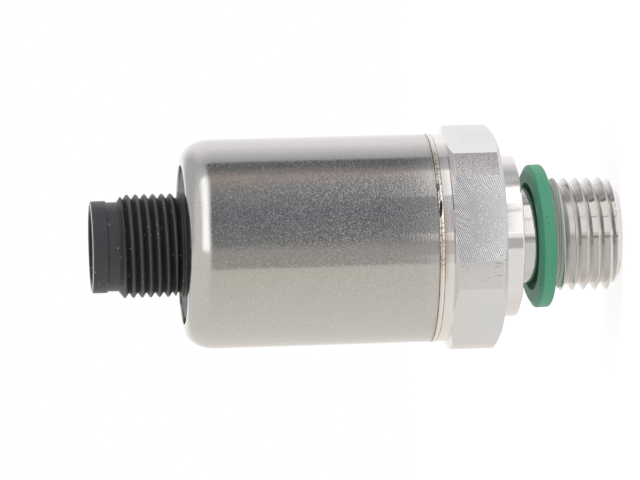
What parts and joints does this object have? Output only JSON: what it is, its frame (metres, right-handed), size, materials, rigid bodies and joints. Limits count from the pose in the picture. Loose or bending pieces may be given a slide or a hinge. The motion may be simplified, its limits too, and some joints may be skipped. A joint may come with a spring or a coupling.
{
  "type": "pressure transmitter",
  "caption": "Round steel pressure transmitter with a threaded stud, hexagon, welded housing and moulded round plug; senses a fluid's pressure and sends it as a current.",
  "frame": {"origin": "on the axis, in the plane of the collar's sealing face, at the middle of the pressure bore", "axes": "+Z along the axis towards the plug, the stud points down -Z; a spanner flat faces -Y. The part is made to be screwed in by its stud, so this is its own frame and not a pose it rests in"},
  "size_m": [0.026, 0.0242, 0.0611],
  "materials": {
    "port_steel": "turned and milled, fine tool marks",
    "shell_steel": "drawn and polished, fine circumferential lines",
    "weld_steel": "laser weld bead, light heat tint",
    "cell_steel": "turned",
    "ring_green": "moulded elastomer, satin",
    "seal_black": "moulded elastomer",
    "plug_black": "moulded, satin",
    "carrier_plastic": "moulded",
    "chip_black": "moulded package",
    "board_laminate": "solder mask over glass laminate",
    "contact_gold": "gold-plated brass",
    "lead_tin": "tin-plated brass",
    "gauge_silicon": "polished silicon",
    "capacitor_ceramic": "fired ceramic"
  },
  "bodies": {
    "root": {"process_port": "port_steel", "sealing_ring": "ring_green", "housing_shell": "shell_steel", "weld_bead": "weld_steel", "connector_body": "plug_black", "connector_seal": "seal_black", "measuring_cell": "cell_steel", "strain_gauge_1": "gauge_silicon", "strain_gauge_2": "gauge_silicon", "cell_spacer": "carrier_plastic", "cell_board": "board_laminate", "main_board": "board_laminate", "contact_board": "board_laminate", "board_carrier": "carrier_plastic", "signal_processor": "chip_black", "current_driver": "chip_black", "contact_pin_1": "contact_gold", "contact_pin_2": "contact_gold", "contact_pin_3": "contact_gold", "contact_pin_4": "contact_gold", "link_lead_1": "lead_tin", "link_lead_2": "lead_tin", "link_lead_3": "lead_tin", "link_lead_4": "lead_tin", "filter_capacitor_1": "capacitor_ceramic", "filter_capacitor_2": "capacitor_ceramic", "filter_capacitor_3": "capacitor_ceramic", "protection_diode_1": "chip_black", "protection_diode_2": "chip_black"}
  },
  "joints": []
}
